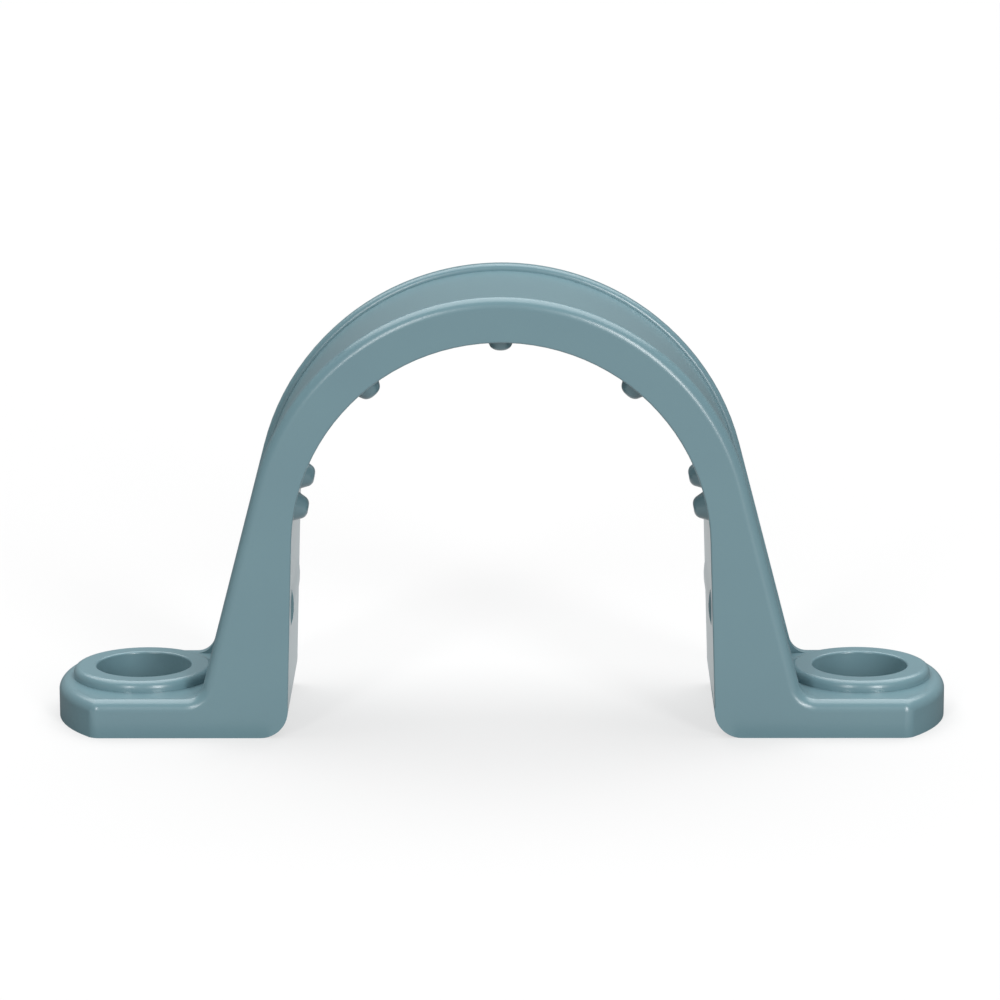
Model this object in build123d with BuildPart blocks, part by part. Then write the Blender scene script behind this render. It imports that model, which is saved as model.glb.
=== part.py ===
from build123d import *
import os
from math import cos, radians, sin, sqrt, tan

# Sizes in millimetres and degrees. X runs along the strap, Y along the conduit and Z up from the
# mounting face, with the origin midway between the screw holes.

# Strap and the conduit that it holds
conduit_diameter = 26.7
strap_thickness = 2.6
strap_width = 14.2
leg_splay = 1.8
heel_radius = 1.9

# Edge ribs: low rims over the arch that widen into gussets beside the legs
rim_height = 0.45
rim_width = 1.5
gusset_lean = 14.6
gusset_foot_radius = 1.3

# Ears and their screw bosses
hole_spacing = 50.0
hole_diameter = 6.6
boss_diameter = 9.8
boss_height = 0.75
boss_chamfer = 0.3
ear_overhang = 5.9
ear_end_radius = 10.2
ear_corner_radius = 1.0
edge_round = 0.8

# Nubs that stand the arch off the conduit
nub_height = 0.9
nub_tip_diameter = 1.2
nub_draft = 26.0
nub_root = 0.2
nub_pitch = 40.0
nubs_each_side = 2
nub_row_spacing = 9.6

# Low crowned pads inside the legs
pad_height = 0.17
pad_length = 3.3
pad_width = 9.0
pad_level = 8.6
pad_sink = 0.1

# Tolerance for picking edges and faces by their place
near = 0.001

# Arch radii, seen along the conduit
conduit_radius = conduit_diameter / 2
arch_centre = conduit_radius
inner_radius = conduit_radius + nub_height
floor_radius = inner_radius + strap_thickness
rim_radius = floor_radius + rim_height
crown_height = arch_centre + rim_radius

# Widths along the conduit
half_width = strap_width / 2
channel_width = strap_width - 2 * rim_width

# Ear outline, seen from above
half_length = hole_spacing / 2 + ear_overhang
corner_reach = half_length - ear_end_radius + sqrt(ear_end_radius**2 - half_width**2)


def reach(radius, angle, level):
    """Half-width at a level of a leg face that leaves an arch of this radius at this angle."""
    return (radius + (arch_centre - level) * sin(radians(angle))) / cos(radians(angle))


def bell(radius, angle, level):
    """Arch with two straight legs down to a level, as the edges of one closed outline."""
    foot = reach(radius, angle, level)
    with BuildLine() as outline:
        arch = CenterArc((0, arch_centre), radius, angle, 180 - 2 * angle)
        Polyline(arch @ 1, (-foot, level), (foot, level), arch @ 0)
    return outline.edges()


def rim_arcs():
    """Arcs along the tops of the rims, from the strap's middle outwards."""
    arcs = conduit_clamp.edges().filter_by(GeomType.CIRCLE)
    tops = arcs.filter_by(lambda edge: abs(edge.radius - rim_radius) < near)
    return tops.sort_by(lambda edge: abs(edge.center().Y))


def at_level(shapes, level):
    """Those of the shapes that lie at one height above the mounting face."""
    return shapes.filter_by_position(Axis.Z, level - near, level + near)


with BuildPart() as conduit_clamp:
    # Foot plate that carries both ears
    with BuildSketch():
        with BuildLine():
            front = Line((-corner_reach, -half_width), (corner_reach, -half_width))
            back = Line((corner_reach, half_width), (-corner_reach, half_width))
            ThreePointArc(front @ 1, (half_length, 0), back @ 0)
            ThreePointArc(back @ 1, (-half_length, 0), front @ 0)
        make_face()
        fillet(vertices(), ear_corner_radius)
    extrude(amount=strap_thickness)

    # Solid bell over the plate, as wide as the ears
    with BuildSketch(Plane.XZ):
        make_face(bell(rim_radius, gusset_lean, 0))
    extrude(amount=half_width, both=True)

    # Channel that leaves a rim along each edge of the strap
    with BuildSketch(Plane.XZ):
        with Locations((0, strap_thickness)):
            Rectangle(2 * half_length, crown_height, align=(Align.CENTER, Align.MIN))
        make_face(bell(floor_radius, leg_splay, 0), mode=Mode.SUBTRACT)
    extrude(amount=channel_width / 2, both=True, mode=Mode.SUBTRACT)

    # Gussets and strap sweep out into the ears
    feet = at_level(edges().filter_by(Axis.Y), strap_thickness)
    fillet(feet, gusset_foot_radius)

    # Round along the whole outer edge, over the arch and about both ears
    fillet(rim_arcs()[-2:], edge_round)

    # Passage for the conduit, open to the mounting face
    with BuildSketch(Plane.XZ):
        make_face(bell(inner_radius, leg_splay, 0))
    extrude(amount=half_width, both=True, mode=Mode.SUBTRACT)
    heels = at_level(edges().filter_by(Axis.Y), 0)
    fillet(heels, heel_radius)

    # Screw bosses and holes, one in each ear
    with BuildSketch(Plane.XY.offset(strap_thickness)):
        with GridLocations(hole_spacing, 0, 2, 1):
            Circle(boss_diameter / 2)
    extrude(amount=boss_height)
    boss_tops = at_level(faces().filter_by(Axis.Z), strap_thickness + boss_height)
    chamfer(boss_tops.edges(), boss_chamfer)
    with GridLocations(hole_spacing, 0, 2, 1):
        Hole(hole_diameter / 2)

    # Nubs in two rows: cones with their flat tips on the conduit and their roots in the strap
    from_the_base = (Align.CENTER, Align.CENTER, Align.MIN)
    nub_length = nub_height + nub_root
    nub_root_radius = nub_tip_diameter / 2 + nub_length * tan(radians(nub_draft))
    for step in range(-nubs_each_side, nubs_each_side + 1):
        outward = Vector(0, 0, 1).rotate(Axis.Y, step * nub_pitch)
        tip = Plane(Vector(0, 0, arch_centre) + outward * conduit_radius, x_dir=(0, 1, 0), z_dir=outward)
        with Locations(tip):
            with GridLocations(nub_row_spacing, 0, 2, 1):
                Cone(nub_tip_diameter / 2, nub_root_radius, nub_length, align=from_the_base)

    # Crowned pads low inside the legs
    pad_top = pad_level + pad_length / 2
    pad_foot = pad_level - pad_length / 2
    for side in (-1, 1):
        with BuildSketch(Plane.XZ):
            with BuildLine():
                low = (side * (reach(inner_radius, leg_splay, pad_foot) + pad_sink), pad_foot)
                high = (side * (reach(inner_radius, leg_splay, pad_top) + pad_sink), pad_top)
                crown = (side * (reach(inner_radius, leg_splay, pad_level) - pad_height), pad_level)
                ThreePointArc(low, crown, high)
                Line(high, low)
            make_face()
        extrude(amount=pad_width / 2, both=True)

os.makedirs("parts", exist_ok=True)
conduit_clamp.part.label = "conduit_clamp"
export_step(conduit_clamp.part, "parts/conduit_clamp.step")
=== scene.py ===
"""Studio scene of a moulded conduit clamp: satin grey PVC on a white floor, under three softboxes."""

import logging
import math
from dataclasses import dataclass
from enum import Enum
from typing import Any

import bmesh
import bpy
from mathutils import Matrix, Vector


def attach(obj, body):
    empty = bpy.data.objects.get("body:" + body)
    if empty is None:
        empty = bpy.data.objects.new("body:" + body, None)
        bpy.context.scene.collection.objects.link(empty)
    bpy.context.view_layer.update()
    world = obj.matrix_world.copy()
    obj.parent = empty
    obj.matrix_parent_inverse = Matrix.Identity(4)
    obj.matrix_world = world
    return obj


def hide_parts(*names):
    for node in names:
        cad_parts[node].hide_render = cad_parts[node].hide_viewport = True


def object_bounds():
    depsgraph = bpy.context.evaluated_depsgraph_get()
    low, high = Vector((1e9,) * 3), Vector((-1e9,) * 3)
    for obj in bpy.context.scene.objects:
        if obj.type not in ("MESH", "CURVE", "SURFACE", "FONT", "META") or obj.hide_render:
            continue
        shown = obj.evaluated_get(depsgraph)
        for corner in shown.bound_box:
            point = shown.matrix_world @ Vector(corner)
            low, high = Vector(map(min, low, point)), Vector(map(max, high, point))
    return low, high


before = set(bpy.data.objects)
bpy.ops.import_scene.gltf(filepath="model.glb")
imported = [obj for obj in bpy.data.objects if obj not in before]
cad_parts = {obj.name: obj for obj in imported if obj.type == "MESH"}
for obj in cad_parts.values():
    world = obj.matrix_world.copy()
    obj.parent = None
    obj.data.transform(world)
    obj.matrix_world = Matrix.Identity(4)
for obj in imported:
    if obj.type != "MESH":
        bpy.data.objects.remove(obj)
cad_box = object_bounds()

MM = 0.001
BODY = "root"
NODE = "conduit_clamp"

logging.basicConfig(level=logging.INFO, format="%(message)s")
log = logging.getLogger("conduit_clamp")


def linear(hex_colour: str) -> tuple[float, float, float, float]:
    """Turns an sRGB colour into the linear values that Blender's sockets take.

    Args:
        hex_colour: The colour as "#rrggbb".

    Returns:
        Red, green, blue and an alpha of 1.
    """
    shares = [int(hex_colour[i : i + 2], 16) / 255 for i in (1, 3, 5)]
    bent = [s / 12.92 if s <= 0.04045 else ((s + 0.055) / 1.055) ** 2.4 for s in shares]
    return (*bent, 1.0)


def add_node(
    tree: bpy.types.NodeTree,
    kind: str,
    settings: dict[str, Any] | None = None,
    inputs: dict[str | int, Any] | None = None,
) -> bpy.types.Node:
    """Adds one node with its settings, values and links.

    Args:
        tree: The node tree that gets it.
        kind: Blender's name for the node.
        settings: Attributes of the node itself.
        inputs: Socket name or number to a value, or to the output socket that feeds it.

    Returns:
        The new node.
    """
    node = tree.nodes.new(kind)
    for name, value in (settings or {}).items():
        setattr(node, name, value)
    for key, value in (inputs or {}).items():
        if isinstance(value, bpy.types.NodeSocket):
            tree.links.new(value, node.inputs[key])
        else:
            node.inputs[key].default_value = value
    return node


@dataclass(frozen=True)
class MouldedPvc:
    """Rigid PVC, injection moulded in a lightly blasted steel mould.

    It gives the eye an even, slightly cool grey. A matt body lies under a thin satin skin, so shading
    is soft, and highlights are small and clear along the rounds. Faint clouds show where the melt
    flowed.
    """

    colour: str = "#648289"
    cloud_colour: str = "#5f7b84"
    skin_gloss: float = 0.95
    skin_roughness: float = 0.28
    skin_ior: float = 1.55
    body_roughness: float = 0.5
    body_roughness_spread: float = 0.08
    cloud_mm: float = 7.0
    cloud_detail: float = 3.0
    # A blasted mould's grain is near 0.05 mm: it is drawn coarser so that it shows
    grain_mm: float = 0.22
    grain_height_mm: float = 0.004
    grain_detail: float = 2.0

    def material(self) -> bpy.types.Material:
        """Builds the material.

        Returns:
            The material, with its patterns in the object's own coordinates.
        """
        made = bpy.data.materials.new("moulded_pvc")
        made.use_nodes = True
        tree = made.node_tree
        tree.nodes.clear()
        place = add_node(tree, "ShaderNodeTexCoord").outputs["Object"]
        clouds = add_node(
            tree,
            "ShaderNodeTexNoise",
            inputs={
                "Vector": place,
                "Scale": 1 / (self.cloud_mm * MM),
                "Detail": self.cloud_detail,
            },
        )
        # The mix node takes its two colours at sockets 6 and 7, and gives the mixed one at output 2
        colour = add_node(
            tree,
            "ShaderNodeMix",
            {"data_type": "RGBA"},
            {0: clouds.outputs["Fac"], 6: linear(self.colour), 7: linear(self.cloud_colour)},
        )
        grain = add_node(
            tree,
            "ShaderNodeTexNoise",
            inputs={
                "Vector": place,
                "Scale": 1 / (self.grain_mm * MM),
                "Detail": self.grain_detail,
            },
        )
        matt = add_node(
            tree,
            "ShaderNodeMapRange",
            inputs={
                "Value": clouds.outputs["Fac"],
                "To Min": self.body_roughness - self.body_roughness_spread,
                "To Max": self.body_roughness + self.body_roughness_spread,
            },
        )
        bump = add_node(
            tree,
            "ShaderNodeBump",
            inputs={"Height": grain.outputs["Fac"], "Distance": self.grain_height_mm * MM},
        )
        # The skin carries all of the gloss, so the body under it mirrors nothing
        shader = add_node(
            tree,
            "ShaderNodeBsdfPrincipled",
            inputs={
                "Base Color": colour.outputs[2],
                "Roughness": matt.outputs["Result"],
                "Specular IOR Level": 0.0,
                "Coat Weight": self.skin_gloss,
                "Coat Roughness": self.skin_roughness,
                "Coat IOR": self.skin_ior,
                "Normal": bump.outputs["Normal"],
                "Coat Normal": bump.outputs["Normal"],
            },
        )
        add_node(tree, "ShaderNodeOutputMaterial", inputs={"Surface": shader.outputs["BSDF"]})
        return made


class EdgeKind(Enum):
    """The edges of the moulding that get a fine round."""

    NUB_TIP = "nub tips"
    RIB_EDGE = "inner edges of the ribs"
    BOSS_RIM = "rims of the bosses"
    LIP = "lips of the passage"
    HOLE_RIM = "upper rims of the holes"


@dataclass(frozen=True)
class FineRound:
    """A round that the mould leaves along one kind of edge."""

    kind: EdgeKind
    radius_mm: float
    segments: int


@dataclass
class Clamp:
    """The moulded clamp: the one solid of the frame, with the fine rounds of a real moulding."""

    finish: MouldedPvc
    # Places that tell the edges apart, measured from the mounting face, the middle planes, the arch's
    # axis and a hole's axis, with the turn that a boss rim stays under
    arch_centre_mm: float = 13.35
    nub_tips_mm: tuple[float, float] = (13.2, 13.4)
    rib_edge_mm: float = 5.6
    rib_foot_mm: float = 5.0
    boss_rim_mm: tuple[float, float] = (3.0, 3.4)
    boss_rim_deg: float = 60.0
    lip_mm: float = 7.1
    lip_foot_mm: float = 2.2
    lip_reach_mm: float = 15.5
    hole_at_mm: float = 25.0
    hole_rim_mm: tuple[float, float] = (3.2, 3.4)
    # What counts as a sharp edge, as flat, as in place, as the same point and as a sliver
    sharp_deg: float = 40.0
    flat_deg: float = 0.2
    near_mm: float = 0.01
    merge_mm: float = 0.0005
    sliver_mm: float = 0.005
    # Sides whose facets are copied to the other side: the right and the front
    facets_from: tuple[str, ...] = ("X", "-Y")
    rounds: tuple[FineRound, ...] = (
        FineRound(EdgeKind.NUB_TIP, 0.34, 5),
        FineRound(EdgeKind.RIB_EDGE, 0.4, 5),
        FineRound(EdgeKind.BOSS_RIM, 0.2, 4),
        FineRound(EdgeKind.LIP, 0.14, 3),
        FineRound(EdgeKind.HOLE_RIM, 0.16, 3),
    )

    def kind_of(self, edge: bmesh.types.BMEdge) -> EdgeKind | None:
        """Tells which kind of sharp outer edge this is.

        Args:
            edge: An edge of the solid.

        Returns:
            Its kind, or None where the surface runs on smoothly or turns inwards.
        """
        turn = math.degrees(edge.calc_face_angle_signed(0.0))
        if turn < self.sharp_deg:
            return None
        first, second = (corner.co / MM for corner in edge.verts)
        middle = (first + second) / 2
        from_axis = math.hypot(middle.x, middle.z - self.arch_centre_mm)
        if self.nub_tips_mm[0] < from_axis < self.nub_tips_mm[1] and middle.z > self.rib_foot_mm:
            return EdgeKind.NUB_TIP
        if all(abs(abs(end.y) - self.rib_edge_mm) < self.near_mm for end in (first, second)):
            return EdgeKind.RIB_EDGE if middle.z > self.rib_foot_mm else None
        if self.boss_rim_mm[0] < middle.z < self.boss_rim_mm[1] and turn < self.boss_rim_deg:
            return EdgeKind.BOSS_RIM
        if all(abs(abs(end.y) - self.lip_mm) < self.near_mm for end in (first, second)):
            inside = abs(middle.x) < self.lip_reach_mm and middle.z > self.lip_foot_mm
            return EdgeKind.LIP if inside else None
        from_hole = math.hypot(abs(middle.x) - self.hole_at_mm, middle.y)
        if self.hole_rim_mm[0] < from_hole < self.hole_rim_mm[1] and middle.z > self.boss_rim_mm[0]:
            return EdgeKind.HOLE_RIM
        return None

    def share_facets(self, shape: bmesh.types.BMesh) -> None:
        """Gives all four quarters the facets of one, so that highlights run on along the rounds.

        Args:
            shape: The solid, which is the same to both sides, front and back, but for its facets.
        """
        for side in self.facets_from:
            bmesh.ops.symmetrize(
                shape,
                input=[*shape.verts, *shape.edges, *shape.faces],
                direction=side,
                dist=self.merge_mm * MM,
            )

    def cut_across(self, shape: bmesh.types.BMesh, kind: EdgeKind, level_mm: float) -> None:
        """Cuts the faces beside one kind of edge across at the level where its round ends.

        Args:
            shape: The solid, before its edges are rounded.
            kind: The kind of edge.
            level_mm: Height of the cut above the mounting face.
        """
        chosen = [edge for edge in shape.edges if self.kind_of(edge) is kind]
        # Keys of a dictionary keep their order, so that each run gives the same mesh
        faces = dict.fromkeys(face for edge in chosen for face in edge.link_faces)
        edges = dict.fromkeys(edge for face in faces for edge in face.edges)
        corners = dict.fromkeys(corner for face in faces for corner in face.verts)
        bmesh.ops.bisect_plane(
            shape,
            geom=[*corners, *edges, *faces],
            dist=self.merge_mm * MM,
            plane_co=(0, 0, level_mm * MM),
            plane_no=(0, 0, 1),
        )

    def build(self) -> bpy.types.Object:
        """Copies the solid and rounds its sharp outer edges.

        Returns:
            The clamp's object, which stands for the solid.
        """
        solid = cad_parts[NODE]
        shape = bmesh.new()
        shape.from_mesh(solid.data)
        bmesh.ops.remove_doubles(shape, verts=shape.verts[:], dist=self.merge_mm * MM)
        self.share_facets(shape)
        bmesh.ops.dissolve_limit(
            shape, angle_limit=math.radians(self.flat_deg), verts=shape.verts[:], edges=shape.edges[:]
        )
        self.cut_across(shape, EdgeKind.RIB_EDGE, self.rib_foot_mm)
        self.cut_across(shape, EdgeKind.LIP, self.lip_foot_mm)
        for fine in self.rounds:
            chosen = [edge for edge in shape.edges if self.kind_of(edge) is fine.kind]
            bmesh.ops.bevel(
                shape,
                geom=chosen,
                affect="EDGES",
                offset=fine.radius_mm * MM,
                offset_type="OFFSET",
                segments=fine.segments,
                profile=0.5,
                clamp_overlap=True,
                material=-1,
            )
            log.info("%s: %d edges rounded", fine.kind.value, len(chosen))
        bmesh.ops.remove_doubles(shape, verts=shape.verts[:], dist=self.sliver_mm * MM)
        bmesh.ops.dissolve_degenerate(shape, edges=shape.edges[:], dist=self.sliver_mm * MM)
        for face in shape.faces:
            face.smooth = True
        for edge in shape.edges:
            edge.smooth = edge.calc_face_angle(math.pi) < math.radians(self.sharp_deg)
        mesh = bpy.data.meshes.new("clamp_moulding")
        shape.to_mesh(mesh)
        shape.free()
        piece = bpy.data.objects.new("clamp_moulding", mesh)
        bpy.context.scene.collection.objects.link(piece)
        even = piece.modifiers.new("even_shading", "WEIGHTED_NORMAL")
        even.keep_sharp = True
        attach(piece, BODY)
        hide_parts(NODE)
        return piece

    def dress(self, piece: bpy.types.Object) -> None:
        """Gives the moulding its finish.

        Args:
            piece: The clamp's object.
        """
        piece.data.materials.clear()
        piece.data.materials.append(self.finish.material())
        log.info("%s: %d faces", piece.name, len(piece.data.polygons))


@dataclass(frozen=True)
class Softbox:
    """A softbox that faces the object, far enough away to light object and floor evenly."""

    name: str
    azimuth_deg: float
    elevation_deg: float
    width_deg: float
    height_deg: float
    level: float
    distance_mm: float = 3000.0

    def add(self) -> bpy.types.Object:
        """Adds the lamp to the scene.

        Returns:
            The lamp's object.
        """
        lamp = bpy.data.lights.new(self.name, "AREA")
        lamp.shape = "RECTANGLE"
        lamp.size = 2 * self.distance_mm * MM * math.tan(math.radians(self.width_deg / 2))
        lamp.size_y = 2 * self.distance_mm * MM * math.tan(math.radians(self.height_deg / 2))
        # At level 1 a small lamp alone shows a white surface that faces it as white
        lamp.energy = self.level * (math.pi * self.distance_mm * MM) ** 2
        made = bpy.data.objects.new(self.name, lamp)
        bpy.context.scene.collection.objects.link(made)
        towards = direction(math.radians(self.azimuth_deg), math.radians(self.elevation_deg))
        made.location = towards * self.distance_mm * MM
        made.rotation_euler = towards.to_track_quat("Z", "Y").to_euler()
        return made


def direction(azimuth: float, elevation: float) -> Vector:
    """Direction from the object, with azimuth 0 towards the front and positive to the right.

    Args:
        azimuth: Angle about the vertical, in radians.
        elevation: Angle above the horizon, in radians.

    Returns:
        A vector of length 1.
    """
    flat = math.cos(elevation)
    return Vector((math.sin(azimuth) * flat, -math.cos(azimuth) * flat, math.sin(elevation)))


@dataclass(frozen=True)
class Studio:
    """White floor, dark cards beside the object, a grey room's light, lamps and camera."""

    floor_radius_mm: float = 2500.0
    floor_sides: int = 96
    floor_colour: str = "#828282"
    floor_glow: float = 0.62
    room_level: float = 0.26
    # Each lamp's azimuth, elevation, width, height and level
    lamps: tuple[Softbox, ...] = (
        Softbox("softbox_right", 27.0, 20.0, 12.0, 32.0, 0.68),
        Softbox("softbox_left", -22.0, 25.0, 7.0, 28.0, 0.36),
        Softbox("softbox_overhead", 180.0, 70.0, 80.0, 62.0, 2.0),
    )
    # Cards: half the bare strip between them, their size and their height over the floor
    card_colour: str = "#585858"
    card_gap_mm: float = 16.0
    card_width_mm: float = 1500.0
    card_front_mm: float = -10.0
    card_back_mm: float = 2500.0
    card_lift_mm: float = 0.01
    # Viewpoint, as fitted to the outline in the photograph
    camera_yaw_deg: float = 0.344
    camera_elevation_deg: float = 13.324
    camera_roll_deg: float = -0.116
    camera_distance_mm: float = 325.7
    camera_lens_mm: float = 169.2
    camera_near_mm: float = 10.0
    sensor_mm: float = 36.0
    aim_mm: tuple[float, float, float] = (-0.089, 0.0, 15.10)

    def seen_directly(self, tree: bpy.types.NodeTree) -> bpy.types.NodeSocket:
        """Adds the test for rays that show the background: straight, mirrored or through glass.

        Args:
            tree: The node tree that gets the test.

        Returns:
            A socket that is 1 for such rays and 0 for the rest.
        """
        path = add_node(tree, "ShaderNodeLightPath").outputs
        mirrored = add_node(
            tree,
            "ShaderNodeMath",
            {"operation": "MAXIMUM"},
            {0: path["Is Glossy Ray"], 1: path["Is Transmission Ray"]},
        )
        either = add_node(
            tree,
            "ShaderNodeMath",
            {"operation": "MAXIMUM"},
            {0: path["Is Camera Ray"], 1: mirrored.outputs[0]},
        )
        return either.outputs[0]

    def add_world(self) -> None:
        """Adds the even light of a plain grey room."""
        world = bpy.data.worlds.new("grey_room")
        world.use_nodes = True
        tree = world.node_tree
        tree.nodes.clear()
        light = add_node(
            tree, "ShaderNodeBackground", inputs={"Color": (1, 1, 1, 1), "Strength": self.room_level}
        )
        add_node(tree, "ShaderNodeOutputWorld", inputs={"Surface": light.outputs["Background"]})
        bpy.context.scene.world = world

    def floor_material(self) -> bpy.types.Material:
        """Builds matt white paper that glows enough to look white and still keeps a shadow.

        Returns:
            The floor's material.
        """
        made = bpy.data.materials.new("studio_paper")
        made.use_nodes = True
        tree = made.node_tree
        tree.nodes.clear()
        paper = add_node(tree, "ShaderNodeBsdfDiffuse", inputs={"Color": linear(self.floor_colour)})
        glow = add_node(
            tree,
            "ShaderNodeMath",
            {"operation": "MULTIPLY"},
            {0: self.seen_directly(tree), 1: self.floor_glow},
        )
        light = add_node(tree, "ShaderNodeEmission", inputs={"Strength": glow.outputs[0]})
        both = add_node(
            tree,
            "ShaderNodeAddShader",
            inputs={0: paper.outputs["BSDF"], 1: light.outputs["Emission"]},
        )
        add_node(tree, "ShaderNodeOutputMaterial", inputs={"Surface": both.outputs["Shader"]})
        return made

    def add_floor(self, level: float) -> bpy.types.Object:
        """Adds the round floor under the object.

        Args:
            level: Height of the floor, in metres.

        Returns:
            The floor's object.
        """
        shape = bmesh.new()
        bmesh.ops.create_circle(
            shape,
            cap_ends=True,
            segments=self.floor_sides,
            radius=self.floor_radius_mm * MM,
            matrix=Matrix.Translation((0, 0, level)),
        )
        mesh = bpy.data.meshes.new("floor")
        shape.to_mesh(mesh)
        shape.free()
        mesh.materials.append(self.floor_material())
        floor = bpy.data.objects.new("floor", mesh)
        bpy.context.scene.collection.objects.link(floor)
        return floor

    def add_cards(self, level: float) -> bpy.types.Object:
        """Lays a dark card on the floor at each side, which only the object's gloss sees.

        Args:
            level: Height of the floor, in metres.

        Returns:
            The cards' object.
        """
        shape = bmesh.new()
        for side in (-1, 1):
            middle = Vector((
                side * (self.card_gap_mm + self.card_width_mm / 2),
                (self.card_front_mm + self.card_back_mm) / 2,
                self.card_lift_mm + level / MM,
            ))
            size = Matrix.Diagonal((self.card_width_mm, self.card_back_mm - self.card_front_mm, 1, 1))
            place = Matrix.Scale(MM, 4) @ Matrix.Translation(middle) @ size
            # A square of side 1, stretched to the card's size
            bmesh.ops.create_grid(shape, x_segments=1, y_segments=1, size=0.5, matrix=place)
        mesh = bpy.data.meshes.new("dark_cards")
        shape.to_mesh(mesh)
        shape.free()
        # Matt dark grey card, which keeps the gloss at the ear ends and shoulders from turning white
        matt = bpy.data.materials.new("dark_grey_card")
        matt.use_nodes = True
        tree = matt.node_tree
        tree.nodes.clear()
        card = add_node(tree, "ShaderNodeBsdfDiffuse", inputs={"Color": linear(self.card_colour)})
        add_node(tree, "ShaderNodeOutputMaterial", inputs={"Surface": card.outputs["BSDF"]})
        mesh.materials.append(matt)
        cards = bpy.data.objects.new("dark_cards", mesh)
        bpy.context.scene.collection.objects.link(cards)
        cards.visible_camera = False
        cards.visible_diffuse = False
        cards.visible_transmission = False
        cards.visible_shadow = False
        return cards

    def add_camera(self) -> bpy.types.Object:
        """Adds the camera at the photograph's viewpoint and makes it the scene's.

        Returns:
            The camera's object.
        """
        lens = bpy.data.cameras.new("camera")
        lens.lens = self.camera_lens_mm
        lens.sensor_width = self.sensor_mm
        lens.clip_start = self.camera_near_mm * MM
        camera = bpy.data.objects.new("camera", lens)
        bpy.context.scene.collection.objects.link(camera)
        towards = direction(math.radians(self.camera_yaw_deg), math.radians(self.camera_elevation_deg))
        roll = Matrix.Rotation(math.radians(self.camera_roll_deg), 4, "Z")
        turn = towards.to_track_quat("Z", "Y").to_matrix().to_4x4() @ roll
        place = Vector(self.aim_mm) * MM + towards * self.camera_distance_mm * MM
        camera.matrix_world = Matrix.Translation(place) @ turn
        bpy.context.scene.camera = camera
        return camera

    def build(self) -> None:
        """Adds everything around the object."""
        bpy.context.scene.view_settings.view_transform = "Standard"
        self.add_world()
        self.add_floor(cad_box[0].z)
        self.add_cards(cad_box[0].z)
        self.add_camera()
        for lamp in self.lamps:
            lamp.add()
        log.info("studio: %d lamps", len(self.lamps))


def main() -> None:
    """Builds the clamp and its studio."""
    clamp = Clamp(MouldedPvc())
    clamp.dress(clamp.build())
    Studio().build()


if __name__ == "__main__":
    main()
